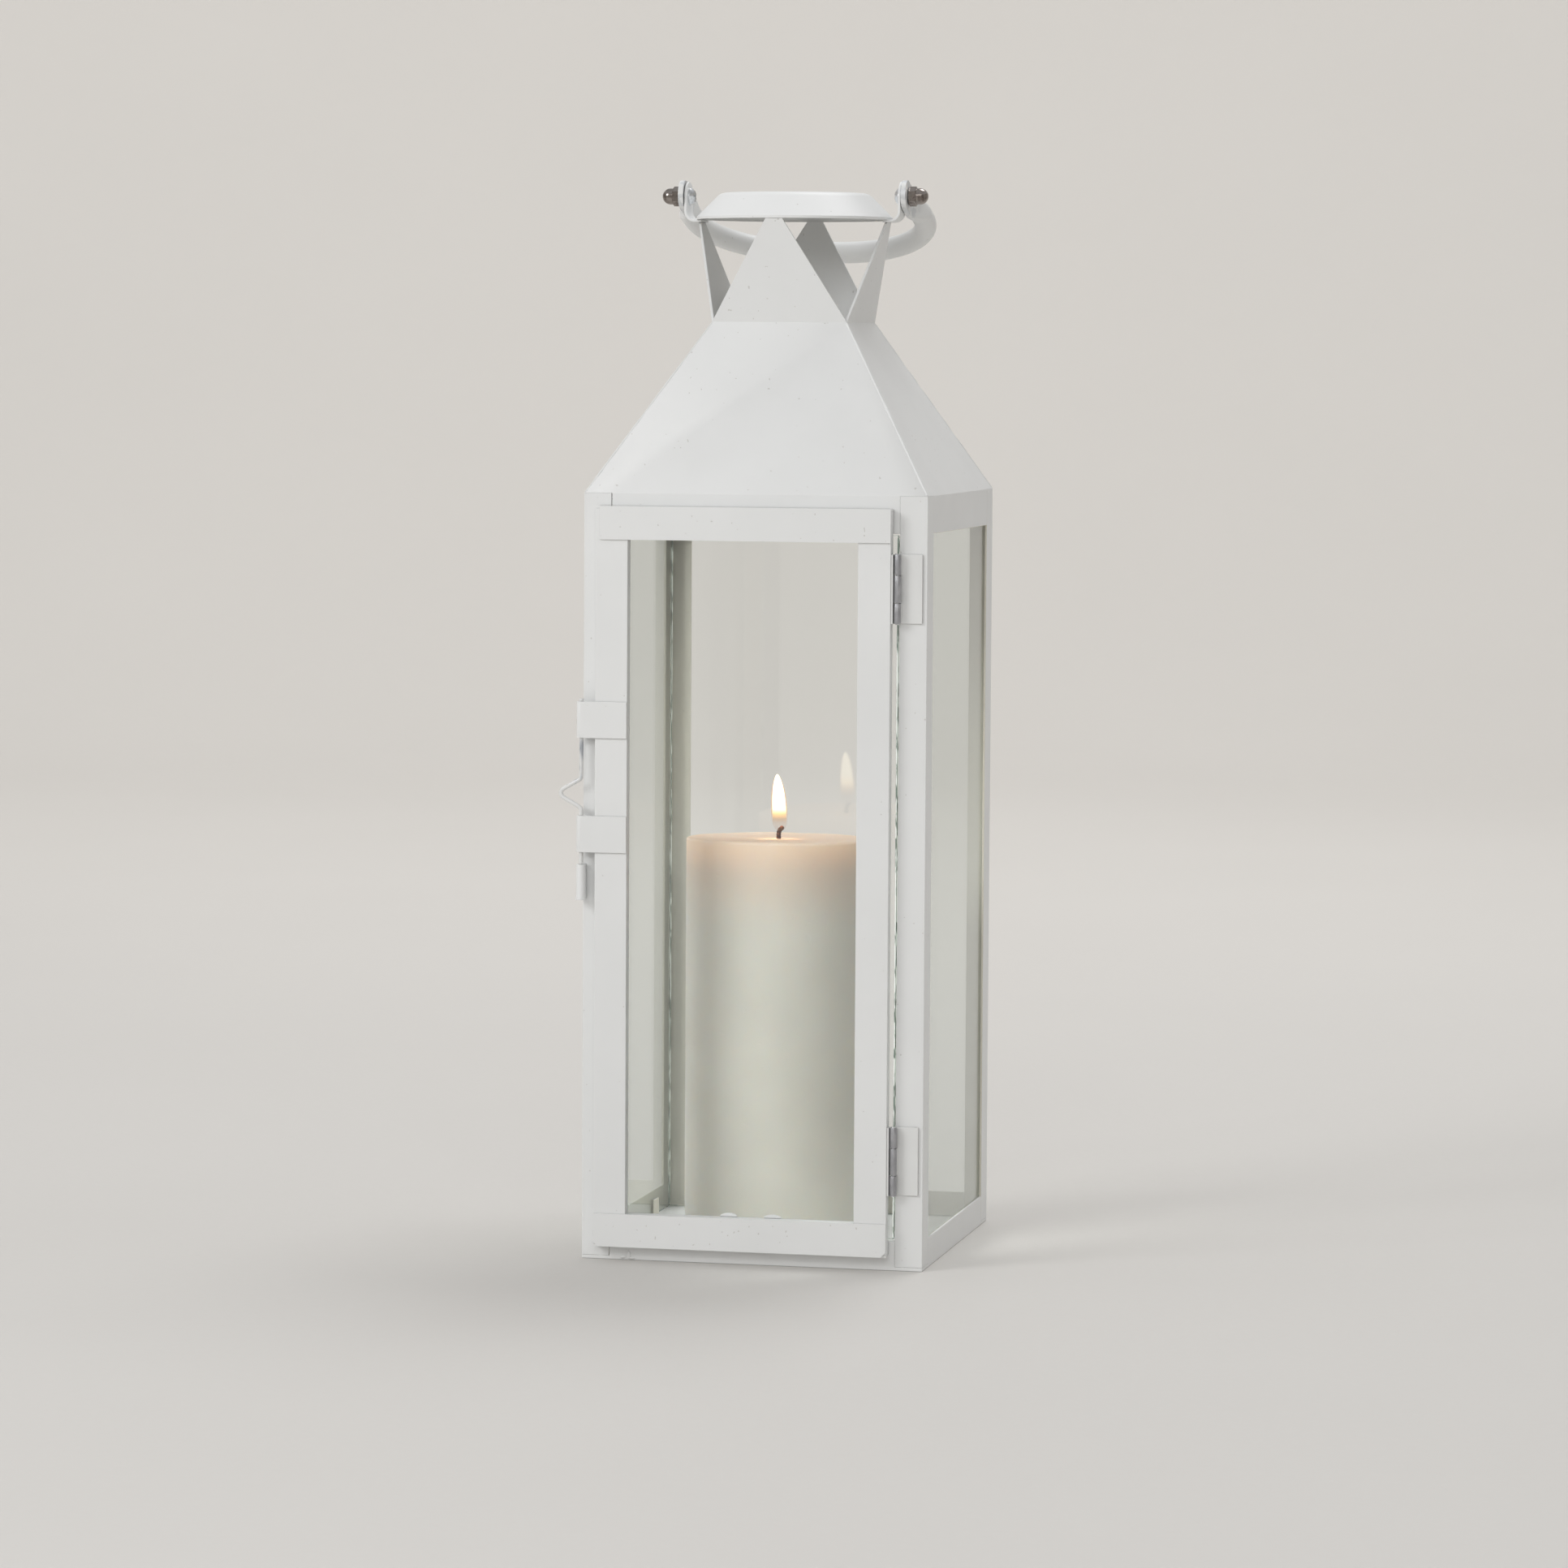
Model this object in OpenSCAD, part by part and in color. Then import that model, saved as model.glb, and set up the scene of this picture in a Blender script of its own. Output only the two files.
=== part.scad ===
// Candle lantern: a square sheet-metal body with glass on four sides, a hinged
// front door with a drop bolt, a pyramid roof, a round cap and a swinging handle.
// Millimetres. Origin: centre of the base's underside. X right, Y back, Z up.

/* [Body] */
// Outside width and depth of the square body
body_w = 140; // [116:1:170]
// Height of the eave, where the roof starts to slope
eave_h = 308.8; // [255:0.1:375]
// Thickness of the body's sheet metal
sheet_t = 1.0; // [0.8:0.1:1.2]
// Width of a corner post on the front and back faces
post_front_w = 11.2; // [10:0.1:14]
// Width of a corner post on the left and right faces
post_side_w = 12.4; // [10:0.1:15]
// Open seam at one end of each skirt and base wall
seam_gap = 0.3; // [0.2:0.05:0.6]

/* [Base] */
// Thickness of the base plate
base_t = 1.5; // [1:0.1:2.5]
// Height of the low walls that stand on the base plate's edges
base_wall_h = 12; // [9:0.5:16]

/* [Roof and cap] */
// Height of the straight skirt that hangs below the eave
skirt_h = 14.9; // [11:0.1:18]
// Height of the sloping part of the roof
slope_h = 68.5; // [55:0.5:85]
// Outside width of the square neck at the top of the slopes
neck_w = 55.8; // [46:0.1:67]
// Height of the four petals that carry the cap
petal_h = 41.7; // [33:0.1:52]
// Width of a petal where it meets the cap
petal_tip_w = 6.7; // [4:0.1:9]
// Outside diameter of the round cap
cap_d = 80; // [66:0.5:90]
// Height of the cap from its rim to its flat top
cap_h = 10.8; // [9:0.1:13]
// Height of the upright lip round the cap
cap_lip_h = 1.0; // [0.8:0.1:1.5]
// Slope of the cap's side, measured from the horizontal
cap_side_angle = 45; // [40:1:50]
// Outside radius of the bend between the cap's side and its top
cap_bend_r = 5; // [3:0.5:6]

/* [Glass] */
// Thickness of every pane
glass_t = 2.5; // [2:0.1:3]
// Gap between a side pane's top and the eave
glass_top_gap = 3.0; // [2.5:0.1:5]
// Clearance round the door's pane, inside the front opening
glass_gap = 0.5; // [0.4:0.1:1]
// Width of a tab that holds a pane
tab_w = 8; // [5:0.5:12]
// Height of a tab that holds a pane
tab_h = 7; // [4:0.5:10]
// Distance of each tab from the middle of its pane
tab_offset = 40; // [25:1:48]

/* [Door] */
// Width of the door's two uprights
stile_w = 13.2; // [10:0.1:16]
// Height of the door's two rails
rail_w = 13.3; // [10:0.1:16]
// Depth of the door's folded uprights, from back to front
stile_depth = 4.7; // [4.2:0.1:4.8]
// Thickness of the door's sheet metal
door_sheet_t = 0.8; // [0.6:0.1:1]
// Clearance between the back of the door frame and the posts
door_back_gap = 0.3; // [0.3:0.05:0.5]
// Height of the door's lower edge above the ground
door_bottom_z = 6.0; // [4:0.1:8]
// Gap between the door's upper edge and the eave
door_top_gap = 5.1; // [4:0.1:8]
// How far the door laps over the left post
door_lap = 5.2; // [4:0.1:7]
// Gap between the door's hinge edge and the right post
door_hinge_gap = 2.6; // [2.5:0.1:3.2]
// How far the top rail stops short of the door's free edge
top_rail_inset = 1.8; // [1:0.1:3]
// Cut corner of the bottom rail
rail_chamfer = 2; // [1:0.1:3]

/* [Hinges] */
// Outside radius of a hinge knuckle
knuckle_r = 1.45; // [1.3:0.05:1.5]
// Radius of a hinge pin
pin_r = 0.7; // [0.5:0.05:0.8]
// Clearance of a turning knuckle round its pin
pin_gap = 0.05; // [0.02:0.01:0.08]
// Height of a hinge
hinge_h = 27.4; // [20:0.1:34]
// Height of the middle knuckle
middle_knuckle_h = 11; // [8:0.1:13]
// Gap between neighbouring knuckles
knuckle_gap = 0.35; // [0.3:0.05:0.6]
// Width of the leaf on the post
leaf_w = 9.4; // [7:0.1:9.8]
// Thickness of the hinge leaves
leaf_t = 1.0; // [0.8:0.05:1]
// Distance from the ground to the lower hinge
lower_hinge_z = 30.6; // [24:0.1:45]
// Distance from the eave to the top of the upper hinge
upper_hinge_drop = 22.9; // [22:0.1:45]
// Distance of the hinge axis in front of the posts
hinge_axis_out = 3.2; // [3.2:0.05:3.4]

/* [Latch] */
// Radius of the bolt's wire
bolt_r = 0.85; // [0.7:0.05:1]
// Clearance of the bolt in its guides
bolt_gap = 0.08; // [0.05:0.01:0.1]
// Thickness of the latch straps
strap_t = 0.95; // [0.8:0.05:1]
// Height of a latch strap
strap_h = 14.6; // [11:0.1:18]
// Height of the lower strap's lower edge above the ground
lower_strap_z = 165; // [150:0.5:175]
// Distance from the lower strap to the upper strap
strap_pitch = 45.9; // [42:0.1:56]
// Length of the keeper tube
keeper_h = 14.3; // [11:0.1:17]
// Gap between the lower strap and the keeper tube
keeper_drop = 5.0; // [4:0.1:7]
// Gap between the raised bolt's tip and the keeper tube
bolt_lift = 0.3; // [0.3:0.05:0.5]
// How far the bolt stands out of the upper strap
bolt_stand = 1.1; // [0.8:0.1:2]
// How far the thumb bulge stands out sideways, to its sharp corner
thumb_out = 10.4; // [8:0.1:12.5]
// Half the height of the thumb bulge, between its sharp corners
thumb_half_h = 5.9; // [5:0.05:7.5]
// Straight wire between the lower strap and the thumb bulge
thumb_clear = 1.9; // [1.8:0.1:3]
// Bend radius of the wire at the top and bottom of the thumb bulge
thumb_bend_r = 2.0; // [1.5:0.1:3]
// Bend radius of the wire at the tip of the thumb bulge
thumb_tip_r = 2.0; // [1.2:0.1:2.4]

/* [Handle] */
// Diameter of the handle's tube
tube_d = 9; // [7:0.5:10]
// Distance from the pivots to the middle of the grip
handle_reach = 70; // [66:1:84]
// Bend radius of the handle's corners
handle_bend_r = 43; // [36:0.5:43]
// Distance of the ears' inner faces from the cap's rim
ear_gap = 4; // [3.5:0.1:5]
// Thickness of an ear
ear_t = 1.0; // [0.8:0.1:1.5]
// Width of an ear
ear_w = 12; // [10:0.5:14]
// Outside radius of the bend at the foot of an ear
ear_bend_r = 4.5; // [3:0.1:4.5]
// Height of the pivots above the cap's rim
pivot_rise = 9.5; // [8.5:0.1:11]
// Thickness of the handle's flattened ends
flat_t = 2.0; // [1.5:0.1:2.5]
// Width of the handle's flattened ends
flat_w = 12; // [10:0.5:14]
// Length of a flattened end beyond its pivot
flat_over = 7.5; // [7:0.5:9]
// Length of the flat part from the pivot towards the grip
flat_len = 9; // [8:0.5:11]
// Length over which the flat end swells into the round tube
swell_len = 11; // [8:0.5:13]
// Distance that the tube's axis lies outside the flattened end's middle
tube_out = 2.2; // [1.5:0.1:2.5]
// Side clearance on each face of a flattened end
side_gap = 0.3; // [0.2:0.05:0.5]
// Resting angle of the handle below the horizontal
handle_rest_angle = 18; // [0:1:40]

/* [Pivot screws and nuts] */
// Radius of a pivot screw's shank
screw_r = 2.0; // [1.5:0.1:2.2]
// Clearance of the handle round a screw
screw_gap = 0.06; // [0.02:0.01:0.1]
// Radius of a screw's domed head
head_r = 3.7; // [3.3:0.1:4]
// Height of a screw's domed head
head_h = 2.6; // [2:0.1:3]
// Width across the flats of a cap nut
nut_af = 7; // [6.5:0.1:8]
// Height of a cap nut's hexagon
nut_hex_h = 3.2; // [2.5:0.1:4]
// Height of a cap nut's dome above its hexagon
nut_dome_h = 4.6; // [4:0.1:5.5]

/* [Candle] */
// Diameter of the candle
candle_d = 76; // [60:1:90]
// Height of the candle
candle_h = 165.9; // [60:0.1:190]
// Distance of the candle to the left of the lantern's middle
candle_left = 5; // [0:0.5:15]
// Radius of the candle's rounded upper edge
candle_edge_r = 1.5; // [1:0.5:4]
// Depth of the shallow pool in the candle's top
pool_depth = 1.5; // [0.5:0.1:4]
// Gap between the candle and the base plate
candle_lift = 0.1; // [0.05:0.05:0.2]
// Radius of the wick
wick_r = 0.9; // [0.6:0.1:1.2]
// Length of the wick's upright part
wick_h = 3.6; // [2:0.1:6]
// Length of the wick's bent tip
wick_tip = 2.2; // [1:0.1:4]

/* [Hidden] */
half = body_w/2;
front_opening = half - post_front_w;
side_opening = half - post_side_w;
skirt_z = eave_h - skirt_h;
neck_z = eave_h + slope_h;
rim_z = neck_z + petal_h;
cap_r = cap_d/2;
wedge_reach = body_w;
touch = 0.01;

door_back_y = -half - door_back_gap;
door_front_y = door_back_y - stile_depth;
door_left_x = -front_opening - door_lap;
door_right_x = front_opening - door_hinge_gap;
door_top_z = eave_h - door_top_gap;
door_glass_z = base_wall_h + glass_gap;

hinge_x = front_opening - 0.2;
hinge_y = -half - hinge_axis_out;
upper_hinge_z = eave_h - upper_hinge_drop - hinge_h;
end_knuckle_h = (hinge_h - middle_knuckle_h)/2;
leaf_web_w = 1.0;
pin_head = 0.4;

strap_outer_r = bolt_r + bolt_gap + strap_t;
bolt_x = -half + 0.2;
bolt_y = door_front_y - strap_t + strap_outer_r;
upper_strap_z = lower_strap_z + strap_pitch;
keeper_top_z = lower_strap_z - keeper_drop;
bolt_bottom_z = keeper_top_z + bolt_lift;
bolt_top_z = upper_strap_z + strap_h + bolt_stand;
thumb_lean = atan2(thumb_out, thumb_half_h);
thumb_cut = thumb_bend_r*tan(thumb_lean/2);
thumb_z = lower_strap_z + strap_h + thumb_clear + thumb_cut + thumb_half_h;

pivot_z = rim_z + pivot_rise;
ear_in_x = cap_r + ear_gap;
flat_in_x = ear_in_x + ear_t + side_gap;
tube_x = flat_in_x + flat_t/2 + tube_out;
nut_x = flat_in_x + flat_t + side_gap;
round_start = flat_len + swell_len;
bend_start = handle_reach - handle_bend_r;
bend_x = tube_x - handle_bend_r;

glass_out = half - sheet_t;
glass_in = glass_out - glass_t;
pane_top_z = eave_h - glass_top_gap;
candle_z = base_t + candle_lift;

$fn = 64;

// Colours
paint = [0.86, 0.86, 0.84];
bare_zinc = [0.75, 0.76, 0.77];
dark_nickel = [0.35, 0.32, 0.30];
pane = [0.75, 0.85, 0.80, 0.35];
wax = [0.85, 0.82, 0.74];
char = [0.20, 0.15, 0.12];

// ---------- shared shapes ----------

// A box from its low corner to its high corner
module block(low, high) {
    translate(low) cube(high - low);
}

// Points of an arc round a centre, from angle a to angle b
function arc(centre, r, a, b, steps) =
    [for (i = [0:steps]) centre + r*[cos(a + (b - a)*i/steps), sin(a + (b - a)*i/steps)]];

// Unit normal on the right-hand side of the line from p to q
function right_of(p, q) = let(d = (q - p)/norm(q - p)) [d[1], -d[0]];

// The corner q of the outline p, q, r, moved in by the thickness t
function mitred(p, q, r, t) =
    let(m = right_of(p, q), n = right_of(q, r)) q + t*(m + n)/(1 + m*n);

// A drawing in X and Z, given thickness along Y from y0 to y1
module upright(y0, y1) {
    translate([0, y1, 0]) rotate([90, 0, 0]) linear_extrude(y1 - y0) children();
}

// A ring about the Z axis
module tube(outer, inner, h) {
    difference() {
        cylinder(r = outer, h = h);
        translate([0, 0, -touch]) cylinder(r = inner, h = h + 2*touch);
    }
}

// ---------- base and posts ----------

// One low wall on the front side, with an open seam at one end
module base_wall(opening, seam_side) {
    left = -opening + (seam_side < 0 ? seam_gap : 0);
    right = opening - (seam_side > 0 ? seam_gap : 0);
    block([left, -half, base_t - touch], [right, -half + sheet_t, base_wall_h]);
}

module base_tray() {
    color(paint) {
        block([-half, -half, 0], [half, half, base_t]);
        base_wall(front_opening, -1);
        rotate(90) base_wall(side_opening, 1);
        rotate(180) base_wall(front_opening, -1);
        rotate(270) base_wall(side_opening, 1);
    }
}

// An angle post for the corner at +X and -Y
module post() {
    color(paint) {
        block([half - post_front_w, -half, base_t], [half, -half + sheet_t, eave_h]);
        block([half - sheet_t, -half, base_t], [half, -half + post_side_w, eave_h]);
    }
}

module post_front_right() {
    post();
}

module post_front_left() {
    mirror([1, 0, 0]) post();
}

module post_back_right() {
    mirror([0, 1, 0]) post();
}

module post_back_left() {
    rotate(180) post();
}

// ---------- roof ----------

// Cross-section of a roof panel: skirt, slope and petal, folded from one sheet.
// The first coordinate is Y on the front panel and the second is Z.
module panel_profile(petal_top_z) {
    skirt_end = [-half, skirt_z];
    eave = [-half, eave_h];
    neck = [-neck_w/2, neck_z];
    rim_mid = cap_r - 0.4*sheet_t;
    lean = (rim_mid - neck_w/2)/petal_h;
    tip = [-neck_w/2 - lean*(petal_top_z - neck_z), petal_top_z];
    tip_in = [sheet_t*sqrt(1 + lean*lean), 0];
    polygon([
        skirt_end, eave, neck, tip, tip + tip_in,
        mitred(eave, neck, tip, sheet_t),
        mitred(skirt_end, eave, neck, sheet_t),
        skirt_end + [sheet_t, 0]
    ]);
}

// Outline of a roof panel seen from its own side, in X and Z
module panel_outline(opening, seam_side) {
    left = -opening + (seam_side < 0 ? seam_gap : 0);
    right = opening - (seam_side > 0 ? seam_gap : 0);
    polygon([
        [left, skirt_z], [right, skirt_z], [right, eave_h], [half, eave_h],
        [neck_w/2, neck_z], [petal_tip_w/2, rim_z], [-petal_tip_w/2, rim_z],
        [-neck_w/2, neck_z], [-half, eave_h], [left, eave_h]
    ]);
}

// A roof panel on the front side. Its hips are mitred at 45 degrees.
module roof_panel(opening, seam_side, petal_top_z) {
    color(paint) intersection() {
        translate([-half, 0, 0]) rotate([90, 0, 90])
            linear_extrude(body_w) panel_profile(petal_top_z);
        upright(-body_w, 0) panel_outline(opening, seam_side);
        linear_extrude(rim_z)
            polygon([[0, 0], [-wedge_reach, -wedge_reach], [wedge_reach, -wedge_reach]]);
    }
}

module roof_panel_front() {
    roof_panel(front_opening, -1, rim_z);
}

module roof_panel_right() {
    rotate(90) roof_panel(side_opening, 1, rim_z - ear_t);
}

module roof_panel_back() {
    rotate(180) roof_panel(front_opening, -1, rim_z);
}

module roof_panel_left() {
    rotate(270) roof_panel(side_opening, 1, rim_z - ear_t);
}

// ---------- cap and ears ----------

// Radius at which the cap's flat top ends and its bend begins
function cap_flat_r() = let(a = cap_side_angle, rise = cap_h - cap_bend_r - cap_lip_h)
    cap_r - (cap_bend_r + cos(a)*rise)/sin(a);

module top_cap() {
    a = cap_side_angle;
    bend = [cap_flat_r(), cap_h - cap_bend_r];
    lip_in_z = cap_lip_h + sheet_t*(sin(a) - 1)/cos(a);
    color(paint) translate([0, 0, rim_z]) rotate_extrude($fn = 96) polygon(concat(
        [[cap_r - sheet_t, 0], [cap_r, 0], [cap_r, cap_lip_h]],
        arc(bend, cap_bend_r, 90 - a, 90, 6),
        [[0, cap_h], [0, cap_h - sheet_t]],
        arc(bend, cap_bend_r - sheet_t, 90, 90 - a, 6),
        [[cap_r - sheet_t, lip_in_z]]
    ));
}

// Side view of an ear: a strip that leaves the rim outwards and bends up
module ear_profile() {
    bend = [ear_in_x + ear_t - ear_bend_r, rim_z - ear_t + ear_bend_r];
    tail_x = cap_r - 2.4;
    translate([tail_x, rim_z - ear_t]) square([bend[0] - tail_x, ear_t]);
    translate([ear_in_x, bend[1]]) square([ear_t, pivot_z + ear_w/2 - bend[1]]);
    intersection() {
        translate(bend) difference() {
            circle(r = ear_bend_r);
            circle(r = ear_bend_r - ear_t);
        }
        translate([bend[0], rim_z - ear_t]) square(ear_bend_r);
    }
}

// The ear on the right side, with its round top about the pivot
module ear() {
    color(paint) difference() {
        intersection() {
            upright(-ear_w/2, ear_w/2) ear_profile();
            union() {
                block([0, -ear_w/2, rim_z - 2*ear_t], [body_w, ear_w/2, pivot_z]);
                translate([0, 0, pivot_z]) rotate([0, 90, 0]) cylinder(d = ear_w, h = body_w);
            }
        }
        translate([ear_in_x - ear_t, 0, pivot_z]) rotate([0, 90, 0])
            cylinder(r = screw_r, h = 3*ear_t);
    }
}

module ear_right() {
    ear();
}

module ear_left() {
    mirror([1, 0, 0]) ear();
}

// A round-headed screw on the right side, pointing outwards, with a cross recess
module pivot_screw() {
    recess_w = 0.9;
    recess_depth = 1.3;
    dome = head_h*0.75;
    ball_r = (head_r*head_r + dome*dome)/(2*dome);
    shank = nut_x + nut_hex_h - ear_in_x;
    translate([ear_in_x, 0, pivot_z]) rotate([0, 90, 0]) {
        cylinder(r = screw_r, h = shank);
        difference() {
            translate([0, 0, -head_h]) intersection() {
                cylinder(r = head_r, h = head_h);
                translate([0, 0, ball_r]) sphere(r = ball_r);
            }
            for (turn = [0, 90])
                rotate(turn) translate([-head_r*0.6, -recess_w/2, -head_h - touch])
                    cube([head_r*1.2, recess_w, recess_depth]);
        }
    }
}

module pivot_screws() {
    color(bare_zinc) {
        pivot_screw();
        mirror([1, 0, 0]) pivot_screw();
    }
}

// A cap nut on the right side: hexagon, dome and a blind bore for the screw
module cap_nut() {
    across_corners = nut_af/cos(30);
    dome_r = nut_af/2 - 0.2;
    dome_side = nut_dome_h - dome_r;
    corner_cut = 0.6;
    translate([nut_x, 0, pivot_z]) rotate([0, 90, 0]) difference() {
        union() {
            intersection() {
                cylinder(d = across_corners, h = nut_hex_h, $fn = 6);
                rotate_extrude() polygon([
                    [0, 0], [across_corners/2 - corner_cut, 0],
                    [across_corners/2, corner_cut/2],
                    [across_corners/2, nut_hex_h - corner_cut/2],
                    [across_corners/2 - corner_cut, nut_hex_h], [0, nut_hex_h]
                ]);
            }
            translate([0, 0, nut_hex_h - touch]) cylinder(r = dome_r, h = dome_side + touch);
            translate([0, 0, nut_hex_h + dome_side]) intersection() {
                sphere(r = dome_r);
                translate([-nut_af, -nut_af, 0]) cube(2*nut_af);
            }
        }
        translate([0, 0, -touch]) cylinder(r = screw_r, h = nut_hex_h + touch);
    }
}

module cap_nuts() {
    color(dark_nickel) {
        cap_nut();
        mirror([1, 0, 0]) cap_nut();
    }
}

// ---------- fixed glass ----------

// The pane behind the right-hand side, from the door's pane to the back pane
module side_pane() {
    front_y = door_back_y + glass_t + 2*glass_gap;
    color(pane) block([glass_in, front_y, base_t], [glass_out, glass_in, pane_top_z]);
}

module glass_right() {
    side_pane();
}

module glass_left() {
    mirror([1, 0, 0]) side_pane();
}

module glass_back() {
    color(pane) block([-glass_out, glass_in, base_t], [glass_out, glass_out, pane_top_z]);
}

// Small tabs that stand on the base and hold the foot of each pane
module glass_tabs() {
    color(paint) for (side = [-90, 0, 90])
        rotate(side) for (x = [-tab_offset, tab_offset])
            block([x - tab_w/2, glass_in - door_sheet_t, base_t],
                [x + tab_w/2, glass_in, base_t + tab_h]);
}

// ---------- hinges ----------

// Heights of the knuckles: the two end ones, or the middle one
function end_knuckles() = [[0, end_knuckle_h - knuckle_gap/2],
    [hinge_h - end_knuckle_h + knuckle_gap/2, hinge_h]];
function middle_knuckle() = [[end_knuckle_h + knuckle_gap/2,
    hinge_h - end_knuckle_h - knuckle_gap/2]];

// The leaf on the right post, with its knuckles on the hinge axis
module post_leaf(z, knuckles) {
    plate_x = front_opening;
    color(paint) translate([0, 0, z]) {
        block([plate_x, -half - leaf_t, 0], [plate_x + leaf_w, -half, hinge_h]);
        for (k = knuckles) difference() {
            union() {
                translate([hinge_x, hinge_y, k[0]]) cylinder(r = knuckle_r, h = k[1] - k[0]);
                block([plate_x, hinge_y, k[0]], [plate_x + leaf_web_w, -half - touch, k[1]]);
            }
            translate([hinge_x, hinge_y, k[0] - touch])
                cylinder(r = pin_r, h = k[1] - k[0] + 2*touch);
        }
    }
}

// The leaf on the door's edge, with its knuckles on the same axis
module door_leaf(z, knuckles) {
    edge = [door_right_x, door_front_y + door_sheet_t/2];
    web = 0.45;
    color(paint) translate([0, 0, z]) {
        block([edge[0], edge[1], 0],
            [edge[0] + door_sheet_t, door_back_y - door_sheet_t/4, hinge_h]);
        for (k = knuckles) difference() {
            union() {
                translate([hinge_x, hinge_y, k[0]]) cylinder(r = knuckle_r, h = k[1] - k[0]);
                block([edge[0] + touch, hinge_y - web, k[0]], [hinge_x, hinge_y + web, k[1]]);
            }
            translate([hinge_x, hinge_y, k[0] - touch])
                cylinder(r = pin_r + pin_gap, h = k[1] - k[0] + 2*touch);
        }
    }
}

// A pin with a small head on top
module hinge_pin(z) {
    color(bare_zinc) translate([hinge_x, hinge_y, z - pin_head]) {
        cylinder(r = pin_r, h = hinge_h + pin_head);
        translate([0, 0, hinge_h + pin_head]) cylinder(r = pin_r + 0.3, h = pin_head);
    }
}

module hinge_leaf_post_upper() {
    post_leaf(upper_hinge_z, end_knuckles());
}

module hinge_leaf_post_lower() {
    post_leaf(lower_hinge_z, middle_knuckle());
}

module hinge_leaf_door_upper() {
    door_leaf(upper_hinge_z, middle_knuckle());
}

module hinge_leaf_door_lower() {
    door_leaf(lower_hinge_z, end_knuckles());
}

module hinge_pin_upper() {
    hinge_pin(upper_hinge_z);
}

module hinge_pin_lower() {
    hinge_pin(lower_hinge_z);
}

// ---------- door ----------

// A folded upright, open at the back, with its left edge at x
module door_stile(x) {
    low = door_bottom_z + door_sheet_t;
    high = door_top_z - door_sheet_t;
    color(paint) difference() {
        block([x, door_front_y, low], [x + stile_w, door_back_y, high]);
        block([x + door_sheet_t, door_front_y + door_sheet_t, low - touch],
            [x + stile_w - door_sheet_t, door_back_y + touch, high + touch]);
    }
}

module door_stile_left() {
    door_stile(door_left_x);
}

module door_stile_right() {
    door_stile(door_right_x - stile_w);
}

// The two folded edges of a rail: one caps the stiles, the other lies between them
module rail_folds(outer_z, inner_z) {
    block([door_left_x, door_front_y - touch, outer_z],
        [door_right_x, door_back_y, outer_z + door_sheet_t]);
    block([door_left_x + stile_w, door_front_y - touch, inner_z],
        [door_right_x - stile_w, door_back_y, inner_z + door_sheet_t]);
}

// A rail laps over the front of both stiles
module door_rail_top() {
    low = door_top_z - rail_w;
    color(paint) {
        block([door_left_x + top_rail_inset, door_front_y - door_sheet_t, low],
            [door_right_x, door_front_y, door_top_z]);
        rail_folds(door_top_z - door_sheet_t, low);
    }
}

module door_rail_bottom() {
    high = door_bottom_z + rail_w;
    color(paint) {
        upright(door_front_y - door_sheet_t, door_front_y) polygon([
            [door_left_x + rail_chamfer, door_bottom_z],
            [door_right_x - rail_chamfer, door_bottom_z],
            [door_right_x, door_bottom_z + rail_chamfer],
            [door_right_x, high], [door_left_x, high],
            [door_left_x, door_bottom_z + rail_chamfer]
        ]);
        rail_folds(door_bottom_z, high - door_sheet_t);
    }
}

// The door's pane lies against the back of the frame, inside the front opening
module door_glass() {
    color(pane) block([-front_opening + glass_gap, door_back_y, door_glass_z],
        [front_opening - glass_gap, door_back_y + glass_t, skirt_z - glass_gap]);
}

// Two small round-topped tabs that rise from the bottom rail against the glass
module door_glass_tabs() {
    width = 7;
    rise = 1.6;
    foot = door_bottom_z + rail_w;
    color(paint) for (x = [-9, 9])
        translate([x, 0, foot]) upright(door_back_y - door_sheet_t, door_back_y) intersection() {
            translate([0, rise - width]) circle(r = width);
            translate([-width/2, 0]) square([width, 2*rise]);
        }
}

// ---------- latch ----------

// A strap on the front of the free stile, rolled round the bolt at its left end
module latch_strap(z) {
    color(paint) difference() {
        union() {
            block([bolt_x, door_front_y - strap_t, z],
                [door_left_x + stile_w, door_front_y, z + strap_h]);
            translate([bolt_x, bolt_y, z]) cylinder(r = strap_outer_r, h = strap_h);
        }
        translate([bolt_x, bolt_y, z - touch])
            cylinder(r = bolt_r + bolt_gap, h = strap_h + 2*touch);
    }
}

module latch_strap_upper() {
    latch_strap(upper_strap_z);
}

module latch_strap_lower() {
    latch_strap(lower_strap_z);
}

// The tube on the post that the bolt drops into, with a small rim at its foot
module latch_keeper() {
    rim = [0.4, 0.7];
    web_w = 1.4;
    color(paint) translate([bolt_x, bolt_y, keeper_top_z - keeper_h]) {
        tube(strap_outer_r, bolt_r + bolt_gap, keeper_h);
        tube(strap_outer_r + rim[0], bolt_r + bolt_gap, rim[1]);
        difference() {
            block([-half - bolt_x, 0, 0], [-half - bolt_x + web_w, -half - bolt_y, keeper_h]);
            translate([0, 0, -touch]) cylinder(r = bolt_r + bolt_gap, h = keeper_h + 2*touch);
        }
    }
}

// One stop on a bend of the wire: its place and its inward side, in X and Z
function stop_on(centre, r, angle, side) =
    [centre + r*[cos(angle), sin(angle)], side*[cos(angle), sin(angle)]];

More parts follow.
